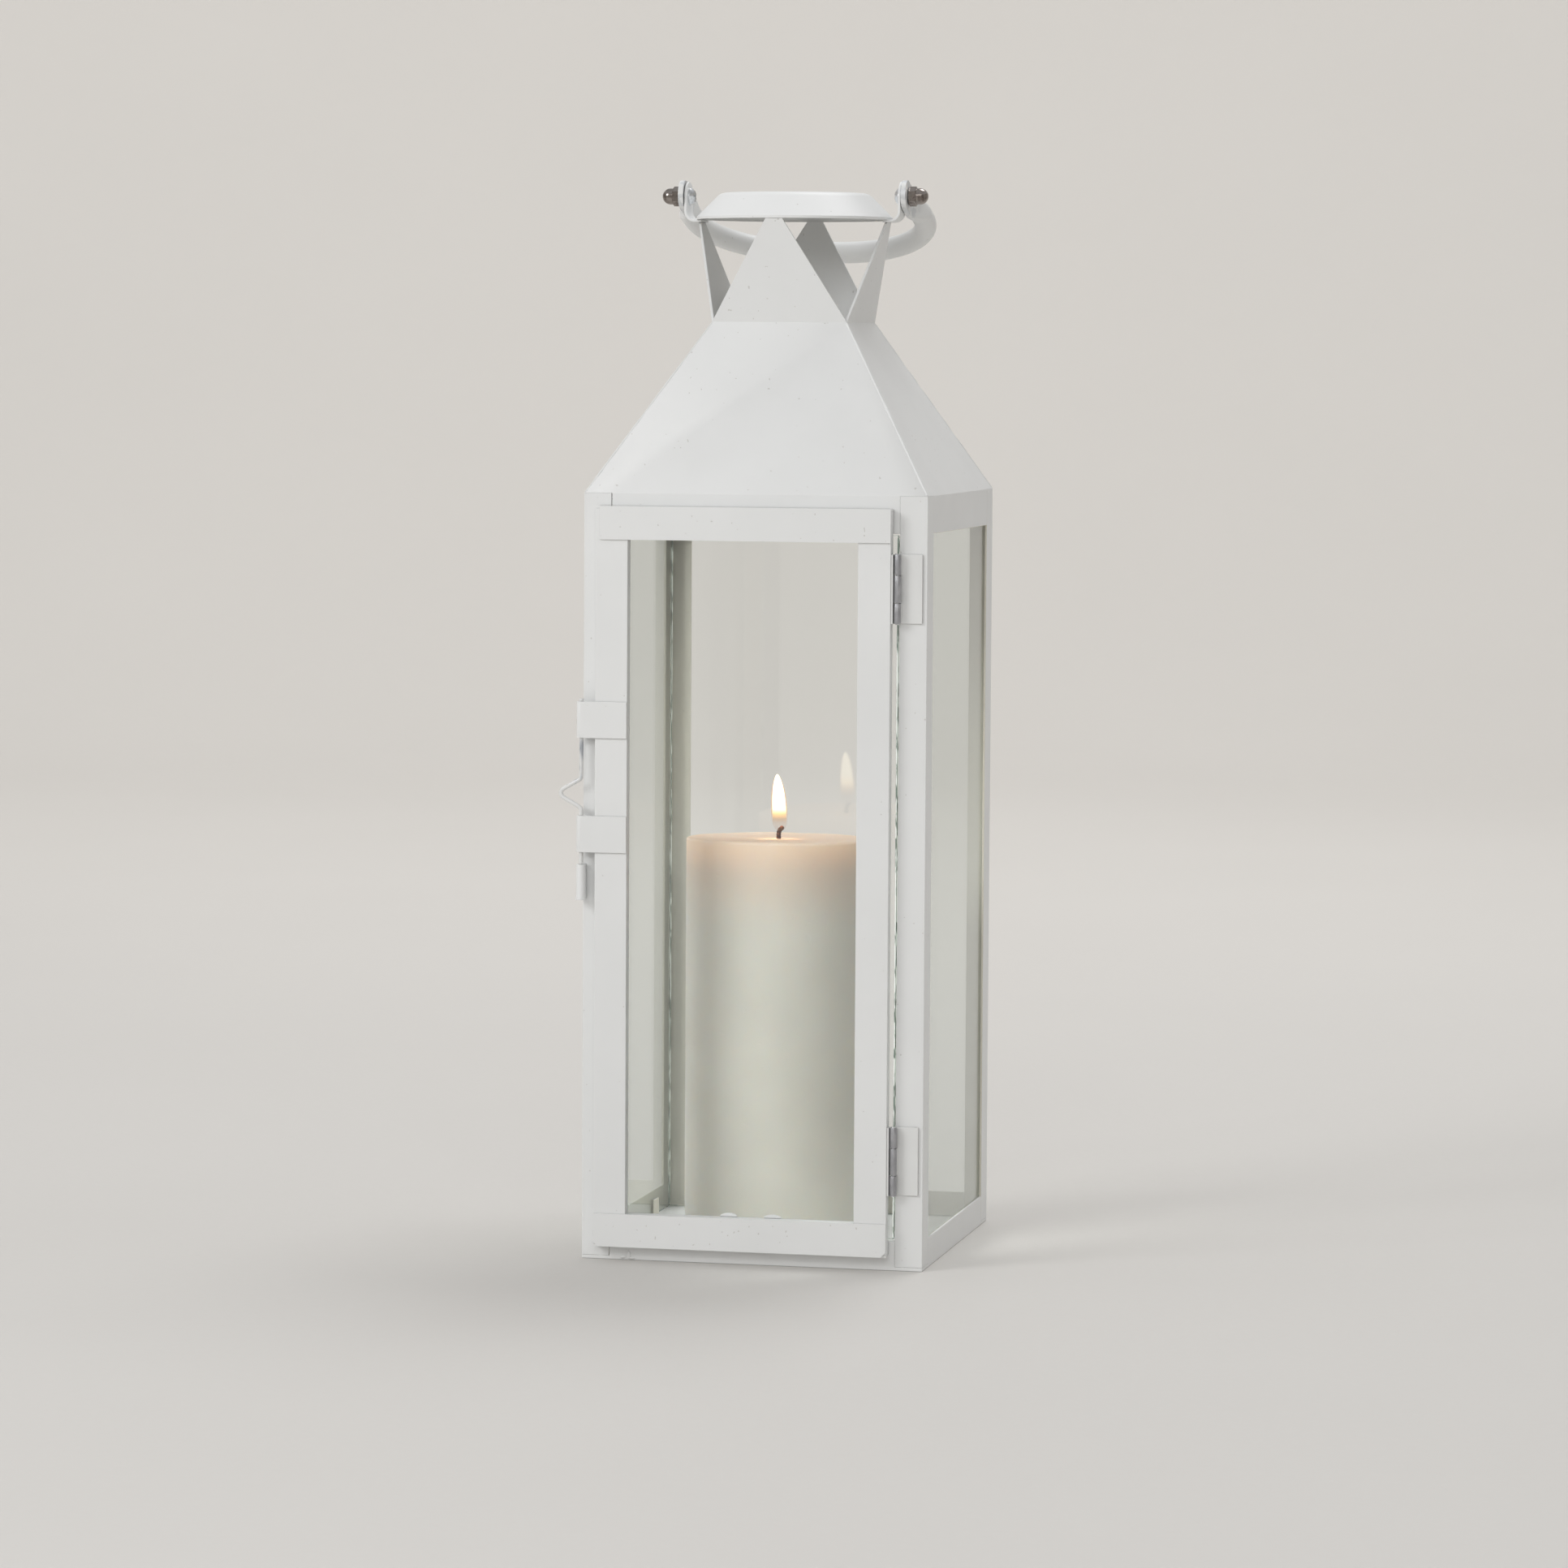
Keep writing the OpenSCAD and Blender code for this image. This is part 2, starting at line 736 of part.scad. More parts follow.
// Stops along the thumb bulge, from its top bend over its tip to its bottom bend
function thumb_stops() = let(
    straight_z = thumb_half_h + thumb_cut,
    tip = [-thumb_out + thumb_tip_r/cos(thumb_lean), 0],
    bend_steps = 6,
    tip_steps = 12
) concat(
    [for (i = [0:bend_steps])
        stop_on([-thumb_bend_r, straight_z], thumb_bend_r, -thumb_lean*i/bend_steps, 1)],
    [for (i = [0:tip_steps])
        stop_on(tip, thumb_tip_r, 180 - thumb_lean + 2*thumb_lean*i/tip_steps, -1)],
    [for (i = [bend_steps:-1:0])
        stop_on([-thumb_bend_r, -straight_z], thumb_bend_r, thumb_lean*i/bend_steps, 1)]
);

// Round wire swept through stops that lie in one upright plane
module swept_wire(stops, r, sides) {
    points = [for (s = stops) for (k = [0:sides - 1]) let(turn = 360*k/sides)
        [s[0][0] + r*cos(turn)*s[1][0], r*sin(turn), s[0][1] + r*cos(turn)*s[1][1]]];
    last = (len(stops) - 1)*sides;
    walls = [for (i = [0:len(stops) - 2]) for (k = [0:sides - 1]) let(next = (k + 1) % sides)
        [i*sides + k, i*sides + next, (i + 1)*sides + next, (i + 1)*sides + k]];
    caps = [[for (k = [sides - 1:-1:0]) k], [for (k = [0:sides - 1]) last + k]];
    polyhedron(points, concat(walls, caps));
}

// The bolt is one wire with a pointed thumb bulge that stands out to the left.
// It is drawn about its own axis, with the bulge's middle at zero height.
module latch_bolt() {
    top = [[0, bolt_top_z - thumb_z], [1, 0]];
    foot = [[0, bolt_bottom_z - thumb_z], [1, 0]];
    color(paint) translate([bolt_x, bolt_y, thumb_z])
        swept_wire(concat([top], thumb_stops(), [foot]), bolt_r, 20);
}

// ---------- handle ----------

// One side of the handle, lying along +Y from the pivot
module handle_side() {
    disc = 0.02;
    difference() {
        union() {
            translate([flat_in_x, flat_w/2 - flat_over, 0]) rotate([0, 90, 0])
                cylinder(d = flat_w, h = flat_t);
            block([flat_in_x, flat_w/2 - flat_over, -flat_w/2],
                [flat_in_x + flat_t, flat_len, flat_w/2]);
        }
        translate([flat_in_x - touch, 0, 0]) rotate([0, 90, 0])
            cylinder(r = screw_r + screw_gap, h = flat_t + 2*touch);
    }
    hull() {
        block([flat_in_x, flat_len - disc, -flat_w/2], [flat_in_x + flat_t, flat_len, flat_w/2]);
        translate([tube_x, round_start + disc, 0]) rotate([90, 0, 0])
            cylinder(d = tube_d, h = disc, $fn = 32);
    }
    translate([tube_x, bend_start, 0]) rotate([90, 0, 0])
        cylinder(d = tube_d, h = bend_start - round_start);
    translate([bend_x, bend_start, 0]) rotate_extrude(angle = 90)
        translate([handle_bend_r, 0]) circle(d = tube_d);
}

module handle() {
    color(paint) translate([0, 0, pivot_z]) rotate([-handle_rest_angle, 0, 0]) {
        handle_side();
        mirror([1, 0, 0]) handle_side();
        translate([-bend_x, handle_reach, 0]) rotate([0, 90, 0])
            cylinder(d = tube_d, h = 2*bend_x);
    }
}

// ---------- candle ----------

module candle() {
    r = candle_d/2;
    edge = [r - candle_edge_r, candle_h - candle_edge_r];
    pool_r = r - 3*candle_edge_r;
    color(wax) translate([-candle_left, 0, candle_z]) rotate_extrude($fn = 96) polygon(concat(
        [[0, 0], [r - 1, 0], [r, 1]],
        arc(edge, candle_edge_r, 0, 90, 6),
        [[pool_r, candle_h - pool_depth*0.6], [pool_r/2, candle_h - pool_depth],
        [0, candle_h - pool_depth]]
    ));
}

module wick() {
    foot_z = candle_z + candle_h - pool_depth;
    color(char) translate([-candle_left, 0, foot_z]) {
        cylinder(r = wick_r, h = wick_h, $fn = 24);
        translate([0, 0, wick_h]) {
            sphere(r = wick_r, $fn = 24);
            rotate([0, 55, 0]) cylinder(r = wick_r, h = wick_tip, $fn = 24);
        }
    }
}

base_tray();
post_front_left();
post_front_right();
post_back_left();
post_back_right();
roof_panel_front();
roof_panel_right();
roof_panel_back();
roof_panel_left();
top_cap();
ear_left();
ear_right();
pivot_screws();
cap_nuts();
glass_left();
glass_right();
glass_back();
glass_tabs();
hinge_leaf_post_upper();
hinge_leaf_post_lower();
hinge_pin_upper();
hinge_pin_lower();
latch_keeper();
door_stile_left();
door_stile_right();
door_rail_top();
door_rail_bottom();
door_glass();
door_glass_tabs();
hinge_leaf_door_upper();
hinge_leaf_door_lower();
latch_strap_upper();
latch_strap_lower();
latch_bolt();
handle();
candle();
wick();
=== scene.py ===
# %% [markdown]
# # A candle lantern, finished in Blender
# The lantern is a square box of painted sheet steel with glass on its four sides. Its
# shapes come from a CAD model, which is loaded here as a fixed frame. This lesson adds
# what CAD doesn't hold: paint, glass, wax, a burning wick, seams and wear.

# %% Load the frame
import math

import bmesh
import bpy
import numpy as np
from mathutils import Matrix, Vector


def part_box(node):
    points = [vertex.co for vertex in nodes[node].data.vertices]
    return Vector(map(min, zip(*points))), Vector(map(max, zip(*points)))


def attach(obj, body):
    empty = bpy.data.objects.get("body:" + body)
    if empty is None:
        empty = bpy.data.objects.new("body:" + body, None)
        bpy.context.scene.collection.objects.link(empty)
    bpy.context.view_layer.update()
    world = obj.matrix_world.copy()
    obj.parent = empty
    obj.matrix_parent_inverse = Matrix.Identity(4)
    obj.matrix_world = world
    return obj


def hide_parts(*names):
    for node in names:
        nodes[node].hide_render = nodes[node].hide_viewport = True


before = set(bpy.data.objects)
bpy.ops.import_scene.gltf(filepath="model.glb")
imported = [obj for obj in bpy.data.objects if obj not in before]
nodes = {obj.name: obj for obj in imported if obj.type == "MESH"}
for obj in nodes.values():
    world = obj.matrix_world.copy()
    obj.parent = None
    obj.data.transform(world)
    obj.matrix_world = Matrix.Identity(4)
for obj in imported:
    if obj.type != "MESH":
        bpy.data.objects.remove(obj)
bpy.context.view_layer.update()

MM = 0.001


# %% [markdown]
# ## Measures
# Every new piece takes its place from the CAD nodes' boxes, so it follows when the CAD
# model changes. `span` gives a node's lowest and highest corner as numpy arrays.

# %% Measures from the CAD nodes
def span(node):
    """The lowest and highest corner of a CAD node, in metres."""
    low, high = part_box(node)
    return np.array(low), np.array(high)


candle_low, candle_high = span("candle")
candle_axis = (candle_low + candle_high) / 2
candle_r = (candle_high[0] - candle_low[0]) / 2
wick_low, wick_high = span("wick")
half_width = span("base_tray")[1][0]
eave_z = span("post_front_right")[1][2]
print("candle radius in mm:", round(candle_r / MM, 2))
print("candle height in mm:", round((candle_high[2] - candle_low[2]) / MM, 2))

# %% [markdown]
# ## Shader maths
# Blender's shaders are graphs of nodes. Joining them by hand makes long code, so a
# `Field` wraps one socket, and the usual signs (+, -, *) add the Math nodes. A
# `Finish` is a material: its one method `add` makes any other node from its type, its
# settings and the values of its sockets.


# %% Field and Finish
class Field:
    """A number that changes over a surface. Arithmetic on it adds Math nodes."""

    def __init__(self, finish, socket):
        self.finish = finish
        self.socket = socket

    def math(self, operation, *operands):
        node = self.finish.add("ShaderNodeMath", {"operation": operation}, dict(enumerate(operands)))
        return Field(self.finish, node.outputs[0])

    def __add__(self, other):
        return self.math("ADD", self, other)

    def __sub__(self, other):
        return self.math("SUBTRACT", self, other)

    def __rsub__(self, other):
        return self.math("SUBTRACT", other, self)

    def __mul__(self, other):
        return self.math("MULTIPLY", self, other)

    __radd__ = __add__
    __rmul__ = __mul__


class Finish:
    """A material built from nodes. Positions are Object coordinates, in metres."""

    def __init__(self, name):
        self.material = bpy.data.materials.new(name)
        self.material.use_nodes = True
        self.tree = self.material.node_tree
        self.tree.nodes.clear()
        coordinates = self.add("ShaderNodeTexCoord")
        self.place = coordinates.outputs["Object"]
        self.facing = coordinates.outputs["Normal"]

    def add(self, kind, settings=None, values=None):
        """A node of this kind, with its settings first and then its sockets' values or links."""
        node = self.tree.nodes.new(kind)
        for name, value in (settings or {}).items():
            if name == "stops":
                ramp = node.color_ramp
                while len(ramp.elements) < len(value):
                    ramp.elements.new(0.5)
                for element, (position, colour) in zip(ramp.elements, value):
                    element.position = position
                    element.color = (*colour, 1)
            else:
                setattr(node, name, value)
        for name, value in (values or {}).items():
            if isinstance(value, Field):
                value = value.socket
            if isinstance(value, bpy.types.NodeSocket):
                self.tree.links.new(value, node.inputs[name])
            else:
                node.inputs[name].default_value = value
        return node

    def field(self, kind, settings=None, values=None, output=0):
        return Field(self, self.add(kind, settings, values).outputs[output])

    def noise(self, scale, detail=2.0, stretch=(1, 1, 1), shift=0.0):
        """Soft random spots, about 1/scale metres across. Stretch squeezes them along each axis."""
        place = self.add("ShaderNodeMapping", None, {0: self.place, 1: (shift, shift, shift), 3: stretch})
        values = {"Vector": place.outputs[0], "Scale": scale, "Detail": detail}
        return self.field("ShaderNodeTexNoise", None, values)

    def ramp(self, value, low, high, start=0.0, end=1.0):
        """Start below low, end above high, and a smooth rise between them."""
        return self.field(
            "ShaderNodeMapRange",
            {"interpolation_type": "SMOOTHSTEP"},
            {0: value, 1: low, 2: high, 3: start, 4: end},
        )

    def axis(self, source, letter):
        return self.field("ShaderNodeSeparateXYZ", None, {0: source}, "XYZ".index(letter))

    def dot(self, first, second):
        product = {"operation": "DOT_PRODUCT"}
        return self.field("ShaderNodeVectorMath", product, {0: first, 1: second}, "Value")

    def mix(self, factor, first, second):
        """First colour where the factor is 0, second colour where it is 1."""
        first, second = [(*c, 1) if isinstance(c, tuple) and len(c) == 3 else c for c in (first, second)]
        node = self.add("ShaderNodeMix", {"data_type": "RGBA"}, {0: factor, 6: first, 7: second})
        return node.outputs[2]

    def edges(self, radius):
        """1 close to a sharp edge, 0 on flat metal: how far a rounded normal turns from the real one."""
        rounded = self.add("ShaderNodeBevel", {"samples": 4}, {"Radius": radius})
        real = self.add("ShaderNodeNewGeometry")
        return self.ramp(self.dot(rounded.outputs[0], real.outputs["Normal"]), 0.97, 0.75)

    def crevice_shade(self, reach):
        """Painted shade mask: 1 in a narrow gap or under a lap on the outside, 0 in the open: how much short
        rays meet.
        """
        openness = self.field("ShaderNodeAmbientOcclusion", {"samples": 6}, {"Distance": reach}, "AO")
        return self.ramp(self.outward(), 0.0, 10 * MM) * self.ramp(openness, 0.66, 0.18)

    def outward(self):
        """Metres from the origin to the plane of this face: below 0 where it faces the middle."""
        return self.dot(self.facing, self.place)

    def bump(self, height, distance, normal=None):
        values = {"Strength": 1.0, "Distance": distance, "Height": height}
        if normal is not None:
            values["Normal"] = normal
        return self.add("ShaderNodeBump", None, values).outputs[0]

    def output(self, shader):
        self.add("ShaderNodeOutputMaterial", None, {"Surface": shader.outputs[0]})
        return self.material

    def surface(self, **values):
        """The Principled shader with these sockets, such as Base_Color, joined to the output."""
        sockets = {name.replace("_", " "): value for name, value in values.items()}
        return self.output(self.add("ShaderNodeBsdfPrincipled", None, sockets))


print("shader helpers ready")

# %% [markdown]
# ## White paint
# The steel is sprayed white. Real paint isn't one colour: it has a faint orange-peel
# skin about 1.5 mm across, long shallow waves from the thin sheet, dust specks, and edges
# where it is thinner and a little grey primer shows. Each of these is a separate noise,
# mixed in Python, and the edge mask comes from Blender's Bevel node. Under the laps and in
# narrow slots, where the Ambient Occlusion node finds metal close by, the colour is darkened
# to grey: painted shade. Inside the glass box the paint is tinted cream: painted warm light.


# %% White paint
def paint_layers(finish, white, dirt):
    """Colour, roughness and normal of sprayed paint, and the mask of its edges."""
    clouds = finish.noise(22.0, 3.0)
    peel = finish.noise(650.0, 2.0)
    waves = finish.noise(9.0, 1.0)
    specks = finish.ramp(finish.noise(800.0, 0.0, shift=3.1), 0.832, 0.852)
    edge = finish.edges(0.45 * MM)
    chips = edge * finish.ramp(finish.noise(260.0, 4.0), 0.60, 0.68)
    colour = finish.mix(finish.ramp(clouds, 0.35, 0.7), white, dirt)
    # Painted warm light: faces inside the glass box, behind the door and below the eave, are tinted cream.
    behind_door = finish.ramp(finish.axis(finish.place, "Y"), -half_width, 1 * MM - half_width)
    below_eave = finish.ramp(finish.axis(finish.place, "Z"), eave_z, eave_z - 12 * MM)
    inside_warm_light = behind_door * below_eave * finish.ramp(finish.outward(), 0.0, -10 * MM)
    colour = finish.mix(inside_warm_light * 0.85, colour, (0.81, 0.775, 0.66))
    colour = finish.mix(specks * 0.4, colour, (0.42, 0.39, 0.35))
    # Painted shade: narrow slots and the undersides of laps are darkened towards grey.
    colour = finish.mix(finish.crevice_shade(1.4 * MM) * 0.85, colour, (0.24, 0.235, 0.23))
    colour = finish.mix(chips * 0.55, colour, (0.46, 0.46, 0.45))
    roughness = 0.40 + 0.10 * clouds + 0.15 * chips
    skin = finish.bump(waves, 0.35 * MM)
    skin = finish.bump(peel, 0.012 * MM, skin)
    skin = finish.bump(specks - chips, 0.05 * MM, skin)
    return colour, roughness, skin, edge


def make_white_paint():
    finish = Finish("white_paint")
    colour, roughness, skin = paint_layers(finish, (0.805, 0.812, 0.808), (0.78, 0.787, 0.782))[:3]
    return finish.surface(Base_Color=colour, Roughness=roughness, Normal=skin, IOR=1.5)


def make_seam_shade():
    """Painted shade: the dark colour of a strip laid where a gap that the paint has not filled lies in shade.
    """
    finish = Finish("seam_shade")
    clouds = finish.noise(180.0, 4.0)
    return finish.surface(
        Base_Color=finish.mix(finish.ramp(clouds, 0.35, 0.65), (0.13, 0.13, 0.125), (0.42, 0.42, 0.41)),
        Roughness=0.6 + 0.2 * clouds,
    )


white_paint = make_white_paint()
seam_shade = make_seam_shade()
print("white paint:", len(white_paint.node_tree.nodes), "nodes")

# %% [markdown]
# ## Handle paint and the worn bolt
# The handle's flattened ends rub against the ears, and there its paint is chipped to the
# bluish steel. The bolt is rubbed bare where its guides slide. Both are the same paint,
# mixed with bare metal where a mask says so: near the pivots, along the straight wire, or
# round the knuckles of the hinges. On the knuckles the steel is made very dark: worn paint
# and painted shade at once, for the shade of the door's stile.


# %% Handle paint and worn wire
pivot_z = (span("pivot_screws")[0][2] + span("pivot_screws")[1][2]) / 2
pin_low, pin_high = span("hinge_pin_upper")
hinge_axis = (pin_low + pin_high) / 2
upper_strap_z = span("latch_strap_upper")[0][2]


def make_rubbed_paint(name, rubbed, dark=(0.40, 0.43, 0.47), light=(0.62, 0.65, 0.69)):
    """White paint that is worn through to dark and light steel where the function rubbed gives 1."""
    finish = Finish(name)
    colour, roughness, skin, edge = paint_layers(finish, (0.78, 0.785, 0.775), (0.745, 0.75, 0.74))
    bare = rubbed(finish, edge)
    steel = finish.mix(finish.noise(500.0, 3.0), dark, light)
    return finish.surface(
        Base_Color=finish.mix(bare, colour, steel),
        Roughness=roughness * (1 - bare) + 0.34 * bare,
        Metallic=bare * 0.85,
        Normal=finish.bump(1 - bare, 0.06 * MM, skin),
        IOR=1.5,
    )


def rubbed_near_pivots(finish, edge):
    """Scuffs on the flattened ends and chips on their edges, fading out 15 mm from the pivot."""
    y = finish.axis(finish.place, "Y")
    z = finish.axis(finish.place, "Z") - pivot_z
    squares = y * y + z * z
    near = finish.ramp(squares.math("SQRT", squares), 15 * MM, 9 * MM)
    patches = finish.ramp(finish.noise(330.0, 5.0), 0.46, 0.54)
    return near * patches * (0.4 + 0.6 * edge)


def rubbed_between_straps(finish, edge):
    """Streaks of bare steel on the straight wire below the upper guide."""
    z = finish.axis(finish.place, "Z")
    above_bend = finish.ramp(z, upper_strap_z - 20 * MM, upper_strap_z - 14 * MM)
    below_strap = finish.ramp(z, upper_strap_z + 1 * MM, upper_strap_z - 3 * MM)
    streaks = finish.ramp(finish.noise(260.0, 4.0, (1, 1, 0.3)), 0.42, 0.58)
    return above_bend * below_strap * streaks


def knuckle_wear_and_shade(finish, edge):
    """Worn paint and painted shade round the hinge axis: the knuckles rub their paint thin, and the stile
    shades them.
    """
    x = finish.axis(finish.place, "X") - hinge_axis[0]
    y = finish.axis(finish.place, "Y") - hinge_axis[1]
    squares = x * x + y * y
    on_knuckle = finish.ramp(squares.math("SQRT", squares), 1.75 * MM, 1.5 * MM)
    patches = finish.ramp(finish.noise(300.0, 4.0, (1, 1, 0.4)), 0.25, 0.55)
    return on_knuckle * (0.45 + 0.3 * patches)


handle_paint = make_rubbed_paint("handle_paint", rubbed_near_pivots)
# On the knuckles the very dark steel is painted shade as well as worn paint.
hinge_paint = make_rubbed_paint("hinge_paint", knuckle_wear_and_shade, (0.17, 0.17, 0.19), (0.30, 0.30, 0.33))
worn_wire = make_rubbed_paint("worn_wire", rubbed_between_straps)
print("rubbed paints ready; pivots at", round(pivot_z / MM, 1), "mm")

# %% [markdown]
# ## Zinc and nickel
# The screws are bright zinc, with a fine brushed grain. The cap nuts are nickel, darker
# and smoother. Metal shows what is round it, so roughness and a little grime matter more
# than colour.


# %% Zinc and nickel
def make_plated(name, bright, grime, roughness, grain):
    finish = Finish(name)
    stains = finish.ramp(finish.noise(380.0, 4.0), 0.40, 0.70)
    scratches = finish.noise(1500.0, 3.0, (1, 0.15, 1))
    return finish.surface(
        Base_Color=finish.mix(stains, bright, grime),
        Metallic=1.0,
        Roughness=roughness + 0.18 * stains + 0.06 * scratches,
        Normal=finish.bump(scratches, grain),
    )


zinc_screw = make_plated("zinc_screw", (0.80, 0.82, 0.84), (0.55, 0.56, 0.56), 0.16, 0.006 * MM)
nickel_nut = make_plated("nickel_nut", (0.34, 0.305, 0.28), (0.15, 0.125, 0.11), 0.08, 0.003 * MM)
print("plated metals ready")

# %% [markdown]
# ## Glass
# Each pane is a slab of float glass: clear through its faces, and green through its cut
# edges, which are ground and a little rough. The mask asks which way the surface faces,
# in the pane's own frame. A slanting look goes through more glass, so Layer Weight makes
# it darker and greener. Lamps must shine through, so shadow rays meet a plain tinted
# Transparent shader instead.


# %% Glass for the side panes and for the front and back panes
def make_pane_glass(name, through):
    """Clear where the surface faces along the axis through, green and ground elsewhere."""
    finish = Finish(name)
    across = finish.axis(finish.facing, through)
    edge = finish.ramp(across.math("ABSOLUTE", across), 0.9, 0.6)
    smears = finish.ramp(finish.noise(14.0, 4.0), 0.45, 0.8)
    slant = finish.ramp(finish.field("ShaderNodeLayerWeight", None, {"Blend": 0.5}, 1), 0.45, 0.95)
    face = finish.mix(slant, (0.985, 0.992, 0.985), (0.585, 0.655, 0.60))
    shader = finish.add(
        "ShaderNodeBsdfPrincipled",
        None,
        {
            "Base Color": finish.mix(edge, face, (0.50, 0.72, 0.62)),
            "Roughness": 0.006 * smears + 0.35 * edge,
            "IOR": 1.5,
            "Transmission Weight": 1.0,
        },
    )
    let_light = finish.add("ShaderNodeBsdfTransparent", None, {"Color": (0.985, 0.99, 0.983, 1)})
    to_lamp = finish.add("ShaderNodeLightPath").outputs["Is Shadow Ray"]
    shaders = {0: to_lamp, 1: shader.outputs[0], 2: let_light.outputs[0]}
    return finish.output(finish.add("ShaderNodeMixShader", None, shaders))


side_glass = make_pane_glass("clear_glass_side", "X")
front_glass = make_pane_glass("clear_glass_front", "Y")
print("glass ready")

# %% [markdown]
# ## Wax, wick and flame finishes
# Wax lets light in and spreads it, which Subsurface does. The flame lights the candle
# from above, so the top centimetres glow warm, and lower down the wax is a cool ivory.
# The glow goes into Emission Color by height. The flame itself is only emission: white
# and opaque above, yellow lower down, and almost clear round the wick.


# %% Wax, wick and flame finishes
def make_ivory_wax():
    finish = Finish("ivory_wax")
    depth = candle_high[2] - finish.axis(finish.place, "Z")
    # Painted light from the flame: a warm tint in Base Color and a glow in Emission Color, strongest near the
    # top.
    warm = finish.ramp(depth, 40 * MM, 2 * MM)
    glow_zone = finish.ramp(depth, 16 * MM, 0.0)
    clouds = finish.noise(26.0, 3.0)
    blotches = finish.noise(75.0, 4.0, shift=1.7)
    colour = finish.mix(finish.ramp(clouds, 0.3, 0.7), (0.745, 0.735, 0.66), (0.795, 0.785, 0.71))
    colour = finish.mix(warm * (0.7 + 0.3 * clouds), colour, (0.86, 0.70, 0.56))
    glow = finish.mix(glow_zone * (0.8 + 0.4 * blotches), (0.0, 0.0, 0.0), (0.16, 0.085, 0.04))
    pits = finish.ramp(finish.noise(240.0, 1.0), 0.70, 0.76)
    skin = finish.bump(clouds, 0.9 * MM)
    skin = finish.bump(blotches - 0.4 * pits, 0.10 * MM, skin)
    return finish.surface(
        Base_Color=colour,
        Roughness=0.34 + 0.22 * blotches,
        Subsurface_Weight=0.7,
        Subsurface_Radius=(1.0, 0.8, 0.6),
        Subsurface_Scale=12 * MM,
        Emission_Color=glow,
        Emission_Strength=1.0,
        Normal=skin,
    )


def make_charred_wick():
    finish = Finish("charred_wick")
    height = finish.axis(finish.place, "Z")
    char = finish.noise(1800.0, 4.0)
    ember = finish.ramp(height, wick_high[2] - 1.6 * MM, wick_high[2]) * finish.ramp(char, 0.4, 0.6)
    colour = finish.mix(char, (0.020, 0.007, 0.004), (0.11, 0.038, 0.022))
    return finish.surface(
        Base_Color=colour,
        Roughness=0.75 + 0.2 * char,
        Emission_Color=finish.mix(ember, (0.0, 0.0, 0.0), (0.55, 0.10, 0.03)),
        Emission_Strength=1.0,
        Normal=finish.bump(char, 0.12 * MM),
    )


flame_base = wick_low[2] + 3.0 * MM
flame_tip = wick_low[2] + 26.4 * MM


def make_flame(name, opacity, stops, strength):
    """Emission by height, from the flame's foot to its tip, and alpha that fades in above the wick."""
    finish = Finish(name)
    height = finish.ramp(finish.axis(finish.place, "Z"), flame_base, flame_tip)
    wisps = finish.noise(300.0, 2.0, (1, 1, 0.25))
    colour = finish.add("ShaderNodeValToRGB", {"stops": stops}, {0: height})
    fade = finish.ramp(height + 0.05 * wisps, 0.04, 0.30, 0.10, 1.0)
    return finish.surface(
        Base_Color=(0, 0, 0, 1),
        Roughness=1.0,
        Specular_IOR_Level=0.0,
        Emission_Color=colour.outputs[0],
        Emission_Strength=strength,
        Alpha=fade * opacity,
    )


ivory_wax = make_ivory_wax()
charred_wick = make_charred_wick()
flame_core_finish = make_flame(
    "flame_core",
    1.0,
    [(0.0, (0.13, 0.08, 0.05)), (0.12, (0.17, 0.115, 0.07)), (0.24, (0.40, 0.26, 0.13)),
     (0.42, (1.0, 0.80, 0.50)), (0.65, (1.0, 0.92, 0.70))],
    4.2,
)
flame_halo_finish = make_flame(
    "flame_halo",
    0.22,
    [(0.0, (0.15, 0.08, 0.06)), (0.3, (1.0, 0.50, 0.18)), (1.0, (1.0, 0.55, 0.22))],
    1.2,
)
print("wax, wick and flame ready")

# %% [markdown]
# ## Finishes on the CAD nodes
# Most of the lantern is already the right shape, so its CAD nodes stay and take a
# material. Folded sheet never has a razor edge: a Weld and a planar Decimate join the
# loose triangles into whole faces, and a small Bevel rounds their edges. A Displace makes
# each pane a hair smaller, because glass that touches paint face to face renders black.
# Modifiers leave the stored mesh untouched.

# %% Assign the finishes and round the edges
PAINTED_SHEET = [
    "base_tray", "post_front_left", "post_front_right", "post_back_left", "post_back_right",
    "roof_panel_front", "roof_panel_right", "roof_panel_back", "roof_panel_left",
    "ear_left", "ear_right", "glass_tabs",
    "hinge_leaf_post_upper", "hinge_leaf_post_lower", "hinge_leaf_door_upper", "hinge_leaf_door_lower",
    "latch_keeper", "latch_strap_upper", "latch_strap_lower",
    "door_stile_left", "door_stile_right", "door_rail_top", "door_rail_bottom", "door_glass_tabs",
]
FINISH_OF = {name: white_paint for name in PAINTED_SHEET}
FINISH_OF.update(
    top_cap=white_paint,
    hinge_leaf_post_upper=hinge_paint,
    hinge_leaf_post_lower=hinge_paint,
    hinge_leaf_door_upper=hinge_paint,
    hinge_leaf_door_lower=hinge_paint,
    handle=handle_paint,
    latch_bolt=worn_wire,
    hinge_pin_upper=zinc_screw,
    hinge_pin_lower=zinc_screw,
    pivot_screws=zinc_screw,
    cap_nuts=nickel_nut,
    glass_left=side_glass,
    glass_right=side_glass,
    glass_back=front_glass,
    door_glass=front_glass,
)


